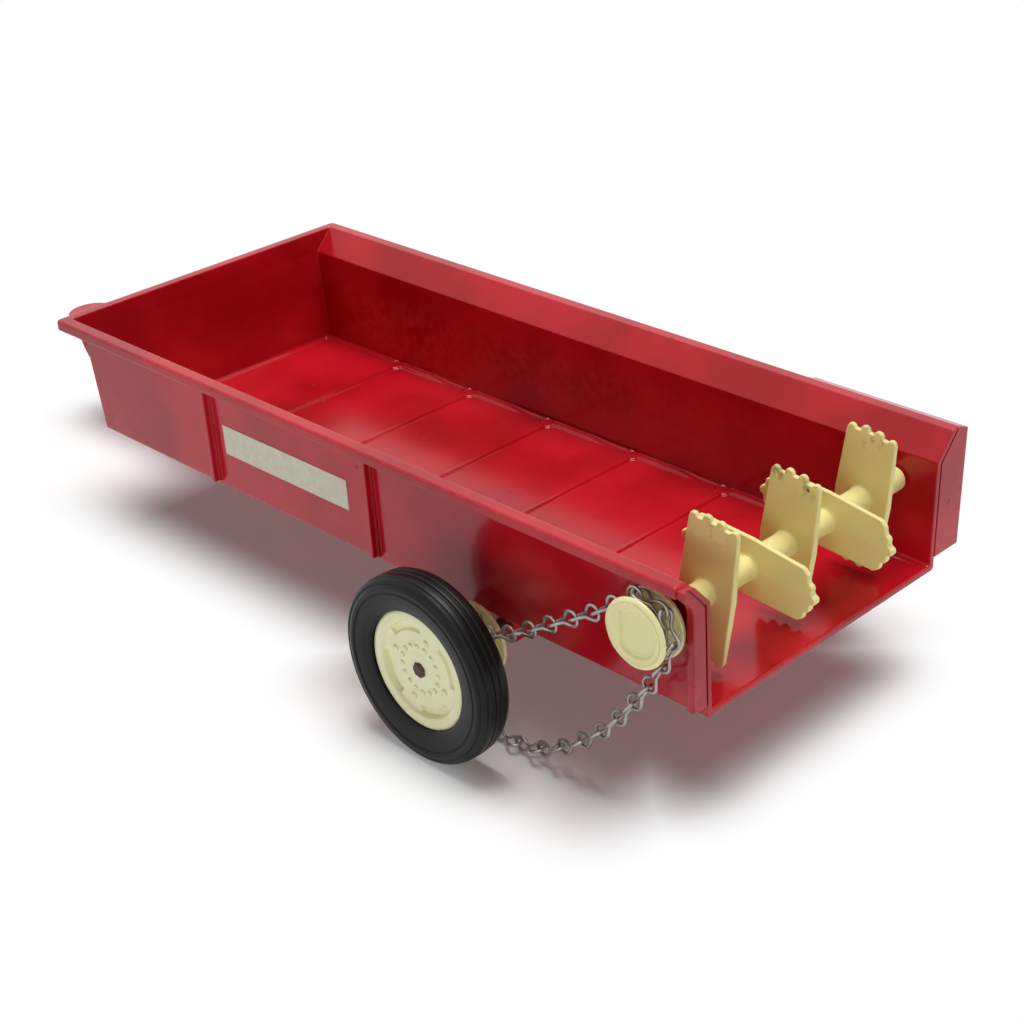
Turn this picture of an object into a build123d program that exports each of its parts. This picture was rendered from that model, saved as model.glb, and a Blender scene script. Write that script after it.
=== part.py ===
"""Die-cast toy manure spreader: a towed box with a chain-driven beater across its open rear end.

Millimetres. +X forward to the hitch, +Y to the left, +Z up. The floor is Z = 0 and the origin is
below the middle of the toy. Stations along the toy are measured forward from the bed's rear end.
"""
import os
from math import atan2, cos, pi, radians, sin, sqrt, tan

from build123d import *

os.makedirs("parts", exist_ok=True)

# Bed: one zinc casting, open at the rear. Heights are above the floor, widths from the centre line.
bed_length = 230.0        # rear end to the front edge of the rim
floor_top = 30.6
floor_thickness = 1.7
load_floor_half = 40.95   # inside of the side walls at the floor
side_spread = 0.7         # how much further out the walls stand where the flare starts
flare_start = 58.1        # height at which the walls flare outward
flare_reach = 5.8         # how far the flare carries the wall outward
rim_top = 64.5
rim_strip = 3.6           # width of the flat strip along the top of each side
rim_depth = 2.6           # height of the rim's outer face
rim_lip = 1.4             # thickness of that face
rim_plate = 1.6           # thickness of the flat strip
rim_rear_gap = 1.8        # the strip stops this far ahead of the rear posts
rim_corner = 1.5          # radius of the rim's front corners in plan
rim_rear_corner = 2.5     # radius of its rear corners in plan
rim_round = 0.8           # radius of the rim's upper outer edge
wall = 1.7                # side and front wall thickness
bottom_chamfer = 0.7      # along the bed's lower outer edges
flare_skin = 1.3          # thickness of the flared part, square to its slope
flare_knee = 1.5          # the flare starts this much lower on the outside
front_lean = 3.1          # how far the front wall leans forward from floor to flare
front_rim = 3.2           # width of the rim's top along the front wall

# Floor bars, wall ledges and the outer ribs
first_bar_station = 62.5
bar_pitch = 32.0
bar_count = 5
bar_width = 2.0
bar_height = 0.7
boss_radius = 2.3
ledge_width = 2.0
ledge_rear_station = 1.0
rear_rib_station = 106.8
front_rib_station = 171.6
rib_bottom = 30.5
rib_width = 1.5           # narrow outer bead of each rib
rib_proud = 2.2
rib_base_width = 2.8      # and the low step that it stands on
rib_base_proud = 0.8
rib_root = 0.5            # how far cast details run into the walls that carry them

# Rear end: a narrow post on the left, a closed bearing housing on the right, a bead along both
post_reach = 6.15         # outer side of the post, out from the load space at the floor
post_depth = 2.0
post_elbow = 57.0         # height at which the post starts to curve outward to the rim
elbow_reach = 0.8
elbow_rise = 2.3
bead_width = 1.3
groove_width = 0.5
groove_depth = 0.6
housing_length = 45.0
housing_proud = 2.7       # how far the housing stands out past the rim, at its top
housing_lean = 1.3        # how much narrower it is at its bottom
housing_bottom = 32.2
housing_shoulder = 1.2    # its outer top edge is this much below the rim

# Beater: one cream moulding on two journals in the side walls
beater_station = 11.2
beater_height = 51.0
beater_turn = -6.4        # degrees about +Y, as it was left standing
shaft_radius = 3.1
journal_radius = 2.0
bearing_clearance = 0.05
shaft_end_gap = 0.6       # shaft shoulder to the side wall, each end
journal_cover = 3.0       # housing left closed outside the right journal
blade_middle = 0.7        # the middle blade stands this far left of the centre line
blade_spacing = 28.5      # between upright blades; level blades stand halfway between them
blade_half_width = 7.5    # at the shaft
blade_end_half_width = 6.9
blade_thickness = 2.1     # at the mould's parting plane
tooth_radius = 1.2
valley_radius = 0.9       # of the rounded valleys between an upright blade's teeth
valley_shift = 0.7        # their centres lie this much further out than the teeth's
draft_overrun = 1.0       # the drafted section runs this far past the blade
# Ends of the blades, out from the shaft's middle, and degrees of draft on each face
upright_end = {"corner": 16.7, "middle": 17.4, "draft": 1.3}
level_end = {"corner": 15.2, "middle": 18.6, "draft": 3.5}
# Columns: place across the blade, reach from the shaft's middle
upright_teeth = ((-5.7, 17.9), (-1.9, 18.7), (1.9, 18.7), (5.7, 17.9))
level_teeth = ((-5.0, 16.4), (-2.5, 17.8), (0.0, 19.1), (2.5, 17.8), (5.0, 16.4))

# Chain pulley of the beater
pulley_radius = 8.5
pulley_out = 4.75         # chain side of the inner flange, out from the side wall at the floor
pulley_groove = 5.2       # between the flanges
flange_thickness = 1.1
pulley_wall_gap = 0.5
pulley_dish_radius = 6.2  # a round recess with one flat side
pulley_dish_flat = 4.3
pulley_dish_depth = 0.7
chain_clearance = 0.35    # around the standing chain

# Wheels and axle
axle_station = 67.6
wheel_radius = 24.0       # to the tread
tyre_proud = 1.7          # the tyre's outer side stands this far past the wheel's face
tyre_width = 9.6
tyre_chamfer = 1.1        # where the tread meets each side
rim_radius = 15.3         # cream wheel, also the tyre's bore
wheel_width = 7.4
dish_radius = 12.3
pad_depth = 0.9           # a pad with four flat sides stands in the dish
pocket_depth = 1.6        # the four crescents that it leaves open
pad_half = 10.45
pad_turn = 64.0           # degrees from straight ahead to the first flat side
hub_radius = 5.0
hub_length = 3.4
hub_out = 12.65           # back of the hub, out from the side wall at the floor
axle_radius = 1.6
axle_end_proud = 0.8      # knurled end, past the wheel's pad
axle_clearance = 0.05
saddle_inset = 4.95       # middle of each cast axle saddle, in from the load space's side
saddle_width = 5.0
saddle_length = 9.0
saddle_wall = 1.9
drive_radius = 9.8        # inner flange of the drive pulley
drive_chain_radius = 8.4  # where the chain's middle lies on it
drive_boss_radius = 5.6
drive_boss_length = 2.0

# Jack chain, one fixed loop of twisted figure-eight links
wire = 0.8
link_reach = 1.1          # how far each loop runs on past its neighbour's
link_half_width = 2.1
link_end_half_width = 1.3
link_pitch = 7.8

# Drawbar with its parking skid
bar_thickness = 2.4
bar_half_width = 8.0
bar_under = 40.0          # length riveted below the bed floor
eye_reach = 63.4          # centre of the hitch hole, ahead of the bed
eye_radius = 8.0
hitch_hole_radius = 2.6
eye_top = 34.2
step_gap = 2.0            # the bar steps up this far ahead of the bed
step_run = 12.0
step_thinning = 1.0
skid_width = 5.0
skid_thickness = 2.0
skid_root = 0.5
skid_knee_back = 2.3      # behind the eye's front
skid_knee_drop = 9.6      # below the eye
skid_foot_back = 9.9
skid_foot_height = 15.0
leg_back = 20.5           # behind the foot, where the skid starts to level out
leg_height = 3.2
heel_knee_back = 25.1
heel_knee_height = 1.6
heel_length = 29.5        # its end lies flat on the floor this far behind the foot
rivet_radius = 1.5
rivet_head_radius = 2.8
rivet_head = 1.0
rivet_depth = 1.0         # up into the floor from below
rivet_inset = 11.0        # from the bar's rear end
rivet_pitch = 13.0

# Side labels, left blank
label_length = 50.2
label_height = 8.6
label_thickness = 0.15
label_station = 141.4
label_middle = 44.3

overrun = 20.0            # cutters run this far past what they cut

# Worked out from the sizes above
load_flare_half = load_floor_half + side_spread
load_mouth_half = load_flare_half + flare_reach       # inside edge of the rim
rim_half_width = load_mouth_half + rim_strip
outside_half = load_floor_half + wall                 # outside of the side walls at the floor
post_half = load_floor_half + post_reach
saddle_half_span = load_floor_half - saddle_inset
pulley_inner_face = outside_half + pulley_out
outer_flange = pulley_inner_face + pulley_groove      # chain side of the outer flange
pulley_face = outer_flange + flange_thickness
hub_back = outside_half + hub_out
wheel_back = hub_back + hub_length
wheel_face = wheel_back + wheel_width
tyre_face = wheel_face + tyre_proud
rim_bottom = rim_top - rim_depth
eye_station = bed_length + eye_reach
front_reach = eye_station + eye_radius
upright_reach = max(reach for across, reach in upright_teeth)
level_reach = max(reach for across, reach in level_teeth)
rear_reach = (level_reach - tooth_radius) * cos(radians(beater_turn)) + tooth_radius - beater_station
origin_station = (front_reach - rear_reach) / 2
rear_x = -origin_station                              # X of the bed's rear end
axle_x = rear_x + axle_station
beater_x = rear_x + beater_station
floor_bottom = floor_top - floor_thickness
front_inner_top = bed_length - front_rim              # inside of the front wall at the flare
front_inner = front_inner_top - front_lean            # and at the floor
flare_slope = atan2(rim_top - flare_start, flare_reach)
chain_plane = (pulley_inner_face + outer_flange) / 2
chain_low = wire / 2 + link_half_width                # the slack run lies this high on the floor
pulley_chain_radius = link_pitch                      # six links make a full turn
bar_rear_station = bed_length - bar_under
rivet_stations = [bar_rear_station + rivet_inset, bar_rear_station + rivet_inset + rivet_pitch]


def box_between(low, high, mode=Mode.ADD):
    """A block between two corners, for use inside a part's own block."""
    size = [b - a for a, b in zip(low, high)]
    middle = [(a + b) / 2 for a, b in zip(low, high)]
    with Locations(tuple(middle)):
        Box(*size, mode=mode)


def about_y(radius, length, middle, x, z, mode=Mode.ADD):
    """A cylinder lying along Y, for use inside a part's own block."""
    with Locations(Location((x, middle, z), (90, 0, 0))):
        Cylinder(radius, length, mode=mode)


def across(points, station, length, mode=Mode.ADD):
    """An outline of (y, height) points run forward from a station, for use inside a part's own block."""
    with BuildSketch(Plane.YZ.offset(rear_x + station)) as outline:
        with BuildLine():
            Polyline(*points, close=True)
        make_face()
    extrude(outline.sketch, amount=length, mode=mode)


def section(height, half_width, front):
    """One level of the tub: a rectangle from well behind the bed to its front."""
    with BuildSketch(Plane.XY.offset(height)) as level:
        with Locations((rear_x + (front - overrun) / 2, 0)):
            Rectangle(front + overrun, 2 * half_width)
    return level.sketch


def tub(levels):
    """Straight-sided solid through levels of (height, half width, front station)."""
    with BuildPart() as solid:
        for lower, upper in zip(levels, levels[1:]):
            for level in (lower, upper):
                add(section(*level))
            loft(ruled=True)
    return solid.part


# Levels of the tub: height, half width, front station
load_levels = [
    (floor_top, load_floor_half, front_inner),
    (flare_start, load_flare_half, front_inner_top),
    (rim_top, load_mouth_half, front_inner_top),
    (rim_top + overrun, load_mouth_half, front_inner_top),
]
skin_out = flare_skin / sin(flare_slope)     # the flared skin measured level
shell_levels = [
    (floor_bottom, outside_half - bottom_chamfer, front_inner + wall - bottom_chamfer),
    (floor_bottom + bottom_chamfer, outside_half, front_inner + wall),
    (flare_start - flare_knee, load_flare_half + wall, front_inner_top + wall),
    (rim_top - rim_round, load_mouth_half + skin_out, front_inner_top + wall),
]
load_space = tub(load_levels)
shell = tub(shell_levels)
side_lean = atan2(shell_levels[2][1] - shell_levels[1][1], shell_levels[2][0] - shell_levels[1][0])


def outside_at(height):
    """Half width of the bed's outer side at a height below the flare."""
    return shell_levels[1][1] + (height - shell_levels[1][0]) * tan(side_lean)


def edge_point(outward, height_index):
    """Point on the load space's rear edge moved outward: at the floor, the flare's start or the rim."""
    miter = (1 - sin(flare_slope)) / cos(flare_slope)
    return (
        (load_floor_half + outward, housing_bottom),
        (load_flare_half + outward, flare_start - outward * miter),
        (load_mouth_half + outward / sin(flare_slope) + overrun / tan(flare_slope), rim_top + overrun),
    )[height_index]


# Rim: a flat strip with a lip turned down along its outer edge, hollow between the lip and the flare
with BuildPart() as rim:
    with BuildSketch(Plane.XY.offset(rim_bottom)) as rim_plan:
        with Locations((rear_x + (bed_length + rim_rear_gap) / 2, 0)):
            Rectangle(bed_length - rim_rear_gap, 2 * rim_half_width)
        ends = rim_plan.vertices().group_by(Axis.X)
        fillet(ends[-1], rim_corner)
        fillet(ends[0], rim_rear_corner)
    extrude(amount=rim_depth)
    fillet(rim.faces().sort_by(Axis.Z)[-1].outer_wire().edges(), rim_round)
    for side in (-1, 1):
        across(
            [
                (side * load_flare_half, rim_bottom - overrun),
                (side * (rim_half_width - rim_lip), rim_bottom - overrun),
                (side * (rim_half_width - rim_lip), rim_top - rim_plate),
                (side * load_flare_half, rim_top - rim_plate),
            ],
            0, bed_length - front_rim, Mode.SUBTRACT,
        )

# Bed casting
with BuildPart() as bed:
    add(shell)
    add(rim)
    # Left post and right bearing housing at the rear
    across(
        [
            (load_floor_half, housing_bottom),
            (post_half, housing_bottom),
            (post_half, post_elbow),
            (post_half + elbow_reach, post_elbow + elbow_rise),
            (rim_half_width - rim_lip / 2, rim_bottom),
            (rim_half_width - rim_lip / 2, rim_top - rim_round),
            (load_flare_half, rim_top - rim_round),
        ],
        0, post_depth,
    )
    housing_half = rim_half_width + housing_proud
    across(
        [
            (-load_floor_half, housing_bottom),
            (-housing_half + housing_lean, housing_bottom),
            (-housing_half, rim_top - housing_shoulder),
            (-rim_half_width + rim_round, rim_top),
            (-load_flare_half, rim_top),
        ],
        0, housing_length,
    )
    for side in (-1, 1):
        groove = [edge_point(bead_width, level) for level in range(3)]
        groove += [edge_point(bead_width + groove_width, level) for level in (2, 1, 0)]
        across([(side * y, z) for y, z in groove], -overrun, overrun + groove_depth, Mode.SUBTRACT)
    # Outer ribs, each a narrow bead on a low step
    for width, proud in ((rib_base_width, rib_base_proud), (rib_width, rib_proud)):
        for station in (rear_rib_station, front_rib_station):
            for side in (-1, 1):
                across(
                    [
                        (side * (load_floor_half + rib_root), rib_bottom),
                        (side * (outside_at(rib_bottom) + proud), rib_bottom),
                        (side * (load_flare_half + wall + proud), rim_bottom + rib_root),
                        (side * (load_floor_half + rib_root), rim_bottom + rib_root),
                    ],
                    station - width / 2, width,
                )
    # Axle saddles below the floor
    for side in (-1, 1):
        middle = side * saddle_half_span
        box_between(
            (axle_x - saddle_length / 2, middle - saddle_width / 2, wheel_radius - axle_radius - saddle_wall),
            (axle_x + saddle_length / 2, middle + saddle_width / 2, floor_bottom),
        )
    # Load space, open at the rear
    add(load_space, mode=Mode.SUBTRACT)
    box_between(
        (rear_x - 2 * overrun, -2 * rim_half_width, -overrun),
        (rear_x, 2 * rim_half_width, rim_top + overrun),
        Mode.SUBTRACT,
    )
    # Floor bars with a boss at each end, and a ledge along each wall
    for index in range(bar_count):
        station = rear_x + first_bar_station + index * bar_pitch
        box_between(
            (station - bar_width / 2, -load_floor_half, floor_top - rib_root),
            (station + bar_width / 2, load_floor_half, floor_top + bar_height),
        )
        for side in (-1, 1):
            with Locations((station, side * (load_floor_half - ledge_width), floor_top - rib_root)):
                Cylinder(boss_radius, bar_height + rib_root, align=(Align.CENTER, Align.CENTER, Align.MIN))
    for side in (-1, 1):
        edge = side * load_floor_half
        inner = side * (load_floor_half - ledge_width)
        box_between(
            (rear_x + ledge_rear_station, min(edge, inner), floor_top - rib_root),
            (rear_x + front_inner, max(edge, inner), floor_top + bar_height),
        )
    # Bores for the beater's journals and for the axle
    bore_end = rim_half_width - journal_cover
    about_y(journal_radius + bearing_clearance, 2 * bore_end + bearing_clearance, 0,
            beater_x, beater_height, Mode.SUBTRACT)
    about_y(axle_radius + axle_clearance, 2 * rim_half_width, 0, axle_x, wheel_radius, Mode.SUBTRACT)
    # Rivet holes for the drawbar
    for station in rivet_stations:
        with Locations((rear_x + station, 0, floor_bottom)):
            Cylinder(rivet_radius, 2 * rivet_depth, mode=Mode.SUBTRACT)
bed.part.label = "bed"
export_step(bed.part, "parts/bed.step")


def blade(place, upright):
    """One toothed blade, drafted both ways from the mould's parting plane through the shaft."""
    along = (0, 0, 1) if upright else (1, 0, 0)
    facing = Plane(origin=(beater_x, place, beater_height), x_dir=along, z_dir=(0, -1, 0))
    end, teeth = (upright_end, upright_teeth) if upright else (level_end, level_teeth)
    with BuildPart() as toothed:
        with BuildSketch(facing):
            with BuildLine():
                Polyline(
                    (-end["corner"], -blade_end_half_width),
                    (0, -blade_half_width),
                    (end["corner"], -blade_end_half_width),
                    (end["middle"], 0),
                    (end["corner"], blade_end_half_width),
                    (0, blade_half_width),
                    (-end["corner"], blade_end_half_width),
                    (-end["middle"], 0),
                    close=True,
                )
            make_face()
            for side in (-1, 1):
                for across, reach in teeth:
                    with Locations((side * (reach - tooth_radius), across)):
                        Circle(tooth_radius)
                if upright:
                    for (first, first_reach), (second, second_reach) in zip(teeth, teeth[1:]):
                        out = (first_reach + second_reach) / 2 - tooth_radius + valley_shift
                        with Locations((side * out, (first + second) / 2)):
                            Circle(valley_radius, mode=Mode.SUBTRACT)
        extrude(amount=blade_thickness, both=True)
        # Thickest at the level parting plane, thinner above and below it
        tall = (upright_reach if upright else blade_half_width) + draft_overrun
        edge = blade_thickness / 2 - tall * tan(radians(end["draft"]))
        with BuildSketch(Plane(origin=(beater_x, place, beater_height), x_dir=(0, 1, 0), z_dir=(1, 0, 0))):
            with BuildLine():
                Polyline(
                    (-edge, -tall),
                    (edge, -tall),
                    (blade_thickness / 2, 0),
                    (edge, tall),
                    (-edge, tall),
                    (-blade_thickness / 2, 0),
                    close=True,
                )
            make_face()
        extrude(amount=level_reach + overrun, both=True, mode=Mode.INTERSECT)
    return toothed.part


# Beater: shaft, three upright and two level blades, and a journal at each end
wall_inside = load_floor_half + side_spread * (beater_height - floor_top) / (flare_start - floor_top)
shaft_half = wall_inside - shaft_end_gap
blades = [blade(blade_middle + index * blade_spacing, True) for index in (-1, 0, 1)]
blades += [blade(blade_middle + (index + 0.5) * blade_spacing, False) for index in (-1, 0)]
journal_left = outer_flange
journal_right = -bore_end
with BuildPart() as beater:
    about_y(shaft_radius, 2 * shaft_half, 0, beater_x, beater_height)
    for piece in blades:
        add(piece)
    about_y(journal_radius, journal_left - journal_right, (journal_left + journal_right) / 2,
            beater_x, beater_height)
beater_standing = beater.part.rotate(Axis((beater_x, 0, beater_height), (0, 1, 0)), beater_turn)
beater_standing.label = "beater"
export_step(beater_standing, "parts/beater.step")

# Beater's chain pulley: two flanges on a core with a slot for the links that stand on edge
pocket_radius = pulley_chain_radius * cos(pi / 6) - wire / 2 - chain_clearance
slot_radius = pulley_chain_radius * cos(pi / 6) - link_half_width - chain_clearance
slot_half = wire / 2 + chain_clearance
hub_start = outside_at(beater_height) + pulley_wall_gap
# Columns: radius, from y, to y
pulley_discs = (
    (slot_radius, hub_start, pulley_face),
    (pulley_radius, pulley_inner_face - flange_thickness, pulley_inner_face),
    (pocket_radius, pulley_inner_face, chain_plane - slot_half),
    (pocket_radius, chain_plane + slot_half, outer_flange),
    (pulley_radius, outer_flange, pulley_face),
)
with BuildPart() as beater_pulley:
    for radius, low, high in pulley_discs:
        about_y(radius, high - low, (low + high) / 2, beater_x, beater_height)
    with BuildSketch(Plane(origin=(beater_x, pulley_face, beater_height), x_dir=(1, 0, 0), z_dir=(0, -1, 0))):
        Circle(pulley_dish_radius)
        with Locations((pulley_dish_flat + pulley_dish_radius, 0)):
            Rectangle(2 * pulley_dish_radius, 2 * pulley_dish_radius, mode=Mode.SUBTRACT)
    extrude(amount=pulley_dish_depth, mode=Mode.SUBTRACT)
    about_y(journal_radius, 2 * journal_left, 0, beater_x, beater_height, Mode.SUBTRACT)
beater_pulley.part.label = "beater_pulley"
export_step(beater_pulley.part, "parts/beater_pulley.step")


def turned_about_axle(side, points):
    """A profile of (y, radius) points turned about the axle, on the left (1) or right (-1)."""
    with BuildSketch(Plane(origin=(axle_x, 0, wheel_radius), x_dir=(0, 1, 0), z_dir=(1, 0, 0))) as profile:
        with BuildLine():
            Polyline(*[(side * y, radius) for y, radius in points], close=True)
        make_face()
    revolve(profile.sketch, axis=Axis((axle_x, 0, wheel_radius), (0, 1, 0)))


# Wheels and tyres
pad_face = wheel_face - pad_depth
tyre_inner = tyre_face - tyre_width
wheel_profile = [
    (hub_back, axle_radius),
    (hub_back, hub_radius),
    (wheel_back, hub_radius),
    (wheel_back, rim_radius),
    (wheel_face, rim_radius),
    (wheel_face, dish_radius),
    (pad_face, dish_radius),
    (pad_face, axle_radius),
]
tyre_profile = [
    (tyre_face, rim_radius),
    (tyre_face, wheel_radius - tyre_chamfer),
    (tyre_face - tyre_chamfer, wheel_radius),
    (tyre_inner + tyre_chamfer, wheel_radius),
    (tyre_inner, wheel_radius - tyre_chamfer),
    (tyre_inner, rim_radius),
]
for name, side in (("left", 1), ("right", -1)):
    with BuildPart() as wheel:
        turned_about_axle(side, wheel_profile)
        dish_floor = Plane(origin=(axle_x, side * pad_face, wheel_radius), x_dir=(1, 0, 0), z_dir=(0, -side, 0))
        with BuildSketch(dish_floor):
            Circle(dish_radius)
            with Locations(Location((0, 0, 0), (0, 0, side * pad_turn))):
                Rectangle(2 * pad_half, 2 * pad_half, mode=Mode.SUBTRACT)
        extrude(amount=pocket_depth - pad_depth, mode=Mode.SUBTRACT)
    wheel.part.label = "wheel_" + name
    export_step(wheel.part, f"parts/wheel_{name}.step")

    with BuildPart() as tyre:
        turned_about_axle(side, tyre_profile)
    tyre.part.label = "tyre_" + name
    export_step(tyre.part, f"parts/tyre_{name}.step")

# Axle, one rod through both saddles and both wheels
with BuildPart() as axle:
    about_y(axle_radius, 2 * (pad_face + axle_end_proud), 0, axle_x, wheel_radius)
axle.part.label = "axle"
export_step(axle.part, "parts/axle.step")

# Drive pulley beside the left wheel: boss, flange and the core that the chain rides on
drive_core = sqrt(drive_chain_radius**2 - link_pitch**2 / 4) - link_half_width - chain_clearance
drive_flange_face = pulley_inner_face
drive_flange_back = drive_flange_face - flange_thickness
drive_profile = [
    (drive_flange_back - drive_boss_length, axle_radius),
    (drive_flange_back - drive_boss_length, drive_boss_radius),
    (drive_flange_back, drive_boss_radius),
    (drive_flange_back, drive_radius),
    (drive_flange_face, drive_radius),
    (drive_flange_face, drive_core),
    (hub_back, drive_core),
    (hub_back, axle_radius),
]
with BuildPart() as drive_pulley:
    turned_about_axle(1, drive_profile)
drive_pulley.part.label = "drive_pulley"
export_step(drive_pulley.part, "parts/drive_pulley.step")

# Route of the chain in its own plane: over the beater's pulley, down in a slack run that lies on
# the floor, up round the front of the drive pulley and back over it
pulley_turns = (78, 99, 120, 145, 170, 195, 220)      # degrees from straight ahead
# Columns: share of the way from beater to axle, share of the height from the floor run to the beater
slack_run = ((-0.02, 0.708), (0.06, 0.576), (0.174, 0.406), (0.333, 0.227), (0.49, 0.098), (0.635, 0.022))
# Columns: distance ahead of the axle in chain radii, share of the height from the floor run to the axle
floor_run = ((-1.36, 0.0), (-0.37, 0.01), (0.4, 0.144), (0.9, 0.512))
drive_turns = (0, 30, 60, 90, 120, 140)
# Columns: share of the way from axle to beater, height above the line between their centres
upper_run = ((0.174, 1.5), (0.3, 1.7), (0.5, 3.1), (0.7, 4.7), (0.79, 5.6), (0.878, 7.4))


def on_circle(station, height, radius, turn):
    """Point on a circle in the chain's plane; the turn is in degrees from straight ahead."""
    return (station + radius * cos(radians(turn)), height + radius * sin(radians(turn)))


route = []
for turn in pulley_turns:
    route.append(on_circle(beater_station, beater_height, pulley_chain_radius + chain_clearance, turn))
for forward, up in slack_run:
    route.append((
        beater_station + forward * (axle_station - beater_station),
        chain_low + up * (beater_height - chain_low),
    ))
for ahead, up in floor_run:
    route.append((axle_station + ahead * drive_chain_radius, chain_low + up * (wheel_radius - chain_low)))
for turn in drive_turns:
    route.append(on_circle(axle_station, wheel_radius, drive_chain_radius, turn))
for back, above in upper_run:
    route.append((
        axle_station + back * (beater_station - axle_station),
        wheel_radius + back * (beater_height - wheel_radius) + above,
    ))
with BuildLine(Plane.XZ.offset(-chain_plane)) as chain_route:
    Spline([(rear_x + station, height) for station, height in route], periodic=True)
chain_edge = chain_route.edges()[0]
link_count = round(chain_edge.length / link_pitch)
joints = [chain_edge.position_at(index / link_count) for index in range(link_count)]


def chain_link(start, end):
    """One link: a loop lying flat at its start, fused to a loop standing on edge at its end."""
    run = end - start
    reach = run.length / 2 + link_reach
    half = (reach + wire / 2) / 2            # half the length of each loop
    with BuildPart() as link:
        for toward, normal in ((-1, Vector(0, 1, 0).cross(run)), (1, Vector(0, 1, 0))):
            centre = (start + end) * 0.5 + run.normalized() * (toward * (reach - half))
            with BuildSketch(Plane(origin=centre, x_dir=run, z_dir=normal)):
                for inset, mode in ((0, Mode.ADD), (wire, Mode.SUBTRACT)):
                    with BuildLine():
                        Polyline(
                            (inset - half, -link_end_half_width + inset / 2),
                            (0, -link_half_width + inset),
                            (half - inset, -link_end_half_width + inset / 2),
                            (half - inset, link_end_half_width - inset / 2),
                            (0, link_half_width - inset),
                            (inset - half, link_end_half_width - inset / 2),
                            close=True,
                        )
                    make_face(mode=mode)
            extrude(amount=wire / 2, both=True)
    return link.part


links = [chain_link(start, end) for start, end in zip(joints, joints[1:] + joints[:1])]
drive_chain = Compound(children=links)
drive_chain.label = "drive_chain"
export_step(drive_chain, "parts/drive_chain.step")

# Drawbar: a flat bar riveted under the floor, stepped up to its eye, with a curved parking skid
bar_rear = rear_x + bar_rear_station
eye_x = rear_x + eye_station
eye_front = eye_x + eye_radius
eye_under = eye_top - bar_thickness
step_start = rear_x + bed_length + step_gap
with BuildPart() as drawbar:
    with BuildSketch(Plane.XZ):
        with BuildLine():
            Polyline(
                (bar_rear, floor_bottom - bar_thickness),
                (step_start, floor_bottom - bar_thickness),
                (step_start + step_run, eye_under),
                (eye_front, eye_under),
                (eye_front, eye_top),
                (step_start + step_run - step_thinning, eye_top),
                (step_start - step_thinning, floor_bottom),
                (bar_rear, floor_bottom),
                close=True,
            )
        make_face()
    extrude(amount=bar_half_width, both=True)
    with BuildSketch(Plane.XY):
        with BuildLine():
            Polyline(
                (bar_rear, -bar_half_width),
                (eye_x, -eye_radius),
                (eye_x, eye_radius),
                (bar_rear, bar_half_width),
                close=True,
            )
        make_face()
        with Locations((eye_x, 0)):
            Circle(eye_radius)
            Circle(hitch_hole_radius, mode=Mode.SUBTRACT)
        for station in rivet_stations:
            with Locations((rear_x + station, 0)):
                Circle(rivet_radius, mode=Mode.SUBTRACT)
    extrude(amount=rim_top, mode=Mode.INTERSECT)
    # The skid curves down and back from the eye's front edge to the floor
    with BuildSketch(Plane.XZ):
        with BuildLine():
            skid_front = eye_front - skid_thickness / 2
            foot = skid_front - skid_foot_back
            run_down = ThreePointArc(
                (skid_front, eye_under + skid_root),
                (skid_front - skid_knee_back, eye_under - skid_knee_drop),
                (foot, skid_foot_height),
            )
            leg = Line(run_down @ 1, (foot - leg_back, leg_height))
            ThreePointArc(
                leg @ 1,
                (foot - heel_knee_back, heel_knee_height),
                (foot - heel_length, skid_thickness / 2),
            )
        trace(line_width=skid_thickness)
    extrude(amount=skid_width / 2, both=True)
    box_between(
        (bar_rear, -bar_half_width, -overrun),
        (eye_front, bar_half_width, 0),
        Mode.SUBTRACT,
    )
drawbar.part.label = "drawbar"
export_step(drawbar.part, "parts/drawbar.step")

# Rivets up through the drawbar into blind holes under the floor
with BuildPart() as rivets:
    for station in rivet_stations:
        top = floor_bottom + rivet_depth
        low = floor_bottom - bar_thickness
        with Locations((rear_x + station, 0, (top + low) / 2)):
            Cylinder(rivet_radius, top - low)
        with Locations((rear_x + station, 0, low - rivet_head / 2)):
            Cylinder(rivet_head_radius, rivet_head)
rivets.part.label = "drawbar_rivets"
export_step(rivets.part, "parts/drawbar_rivets.step")

# Blank labels on both sides, between the ribs
for name, side in (("left", 1), ("right", -1)):
    out = Vector(0, side * cos(side_lean), -sin(side_lean))
    centre = (rear_x + label_station, side * outside_at(label_middle), label_middle)
    with BuildPart() as label:
        with BuildSketch(Plane(origin=centre, x_dir=(1, 0, 0), z_dir=out)):
            Rectangle(label_length, label_height)
        extrude(amount=label_thickness)
    label.part.label = "label_" + name
    export_step(label.part, f"parts/label_{name}.step")
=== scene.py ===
from math import acos, atan2, cos, hypot, pi, radians, sin, sqrt, tan

import bmesh
import bpy
from mathutils import Matrix, Vector


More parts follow.
